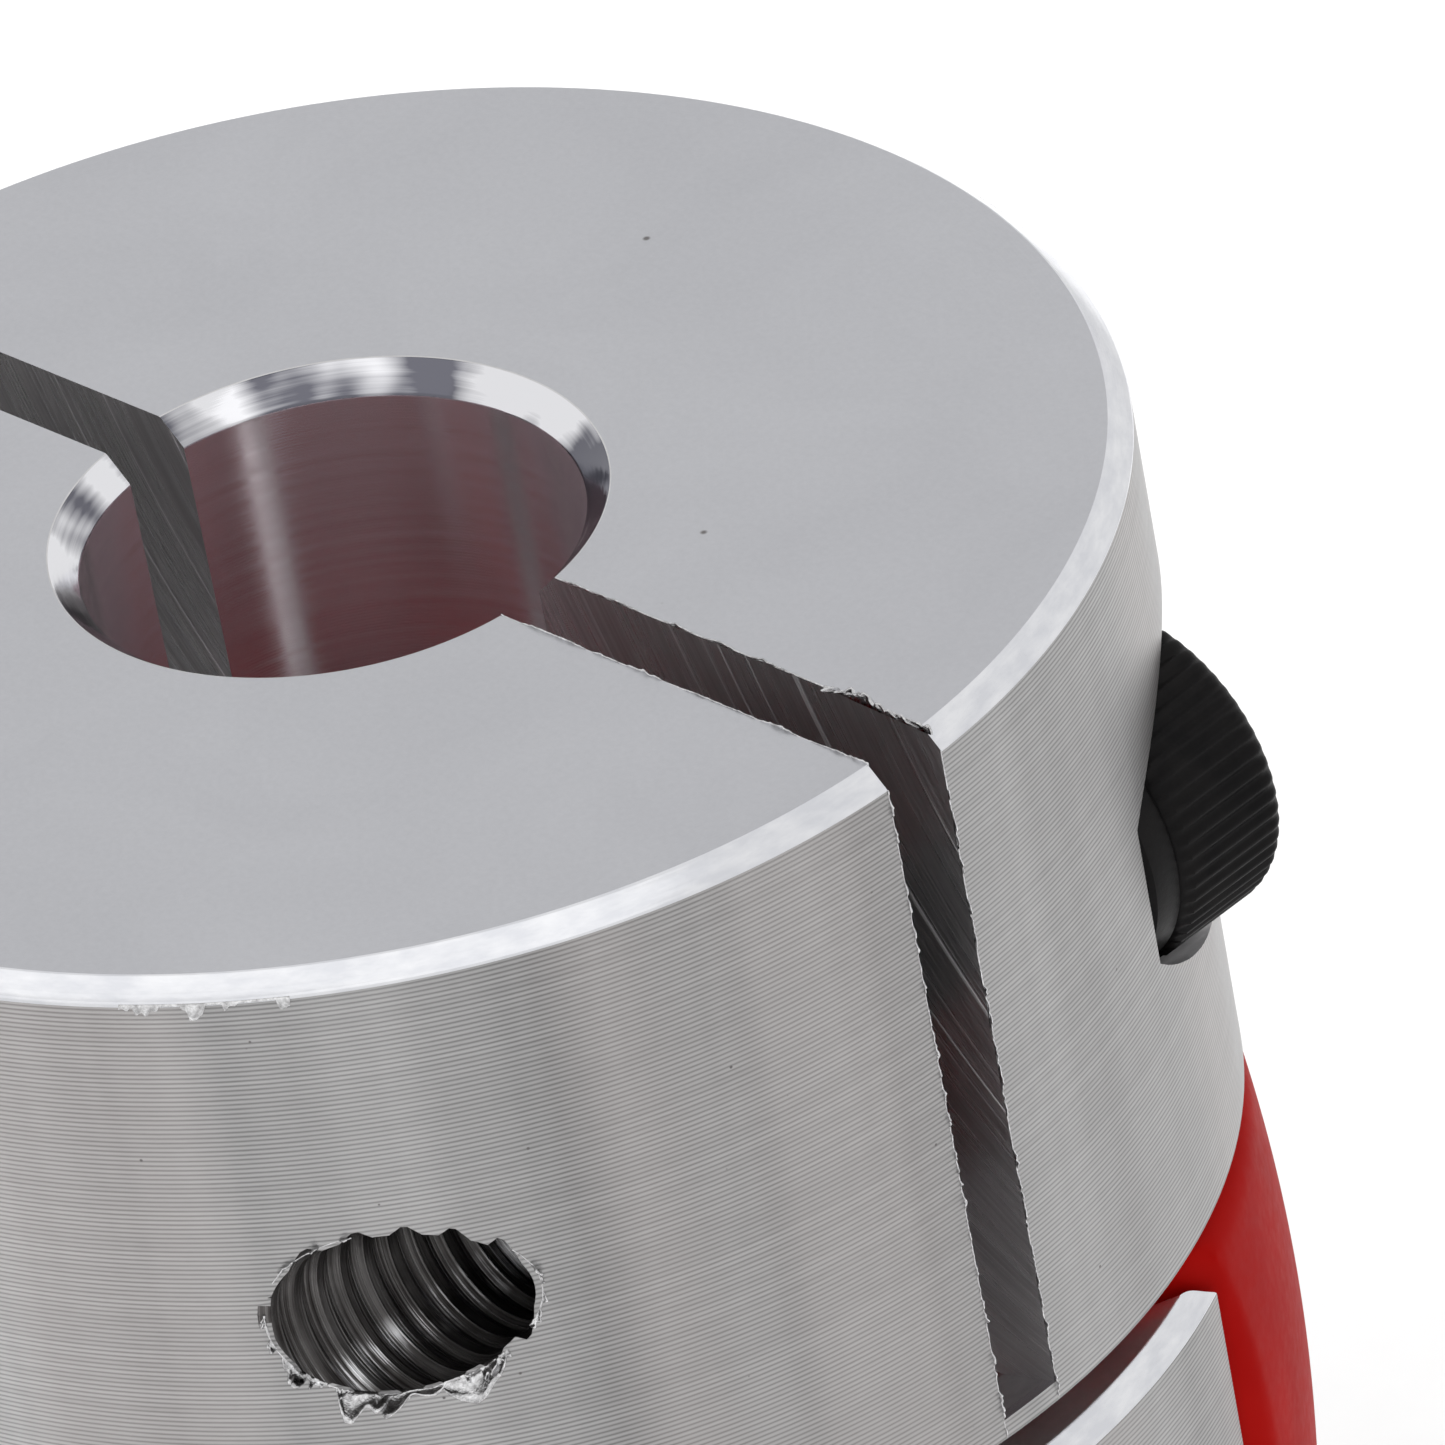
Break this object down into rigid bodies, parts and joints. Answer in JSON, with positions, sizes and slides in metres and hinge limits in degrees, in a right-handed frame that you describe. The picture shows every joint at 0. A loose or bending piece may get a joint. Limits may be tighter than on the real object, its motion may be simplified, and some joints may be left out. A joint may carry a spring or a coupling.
{
  "type": "curved-jaw shaft coupling",
  "caption": "Flexible shaft coupling: slit clamping aluminium hubs with jaws that interlock around a red polyurethane spider, each hub closed by a black cap screw.",
  "frame": {"origin": "centre of the lower hub's end face, on the coupling axis, with the coupling standing on end", "axes": "+Z along the coupling axis towards the upper hub; +X is where the upper hub's slit opens; +Y is the side of the upper clamp screw's head"},
  "size_m": [0.04, 0.04, 0.055],
  "materials": {
    "aluminium": "turned, fine tool marks",
    "red_polyurethane": "smooth moulded, semi-gloss",
    "black_oxide_steel": "black oxide"
  },
  "bodies": {
    "lower_hub": {"lower_hub": "aluminium"},
    "spider": {"spider": "red_polyurethane"},
    "upper_hub": {"upper_hub": "aluminium"},
    "lower_clamp_screw": {"lower_clamp_screw": "black_oxide_steel"},
    "upper_clamp_screw": {"upper_clamp_screw": "black_oxide_steel"}
  },
  "joints": [
    {"name": "torsional_give", "type": "hinge", "parent": "lower_hub", "child": "spider", "pos_m": [0, 0, 0.0275], "axis": [0, 0, 1], "range_deg": [-0.7, 0.7], "stiffness_Nm_per_rad": 1},
    {"name": "plug_in", "type": "slide", "parent": "spider", "child": "upper_hub", "axis": [0, 0, 1], "range_m": [0, 0.014]},
    {"name": "upper_screw_turn", "type": "hinge", "parent": "upper_hub", "child": "upper_clamp_screw", "pos_m": [0.014, 0, 0.045], "axis": [0, 1, 0], "range_deg": [0, 720]},
    {"name": "lower_screw_turn", "type": "hinge", "parent": "lower_hub", "child": "lower_clamp_screw", "pos_m": [0, 0.014, 0.01], "axis": [1, 0, 0], "range_deg": [0, 720]}
  ]
}
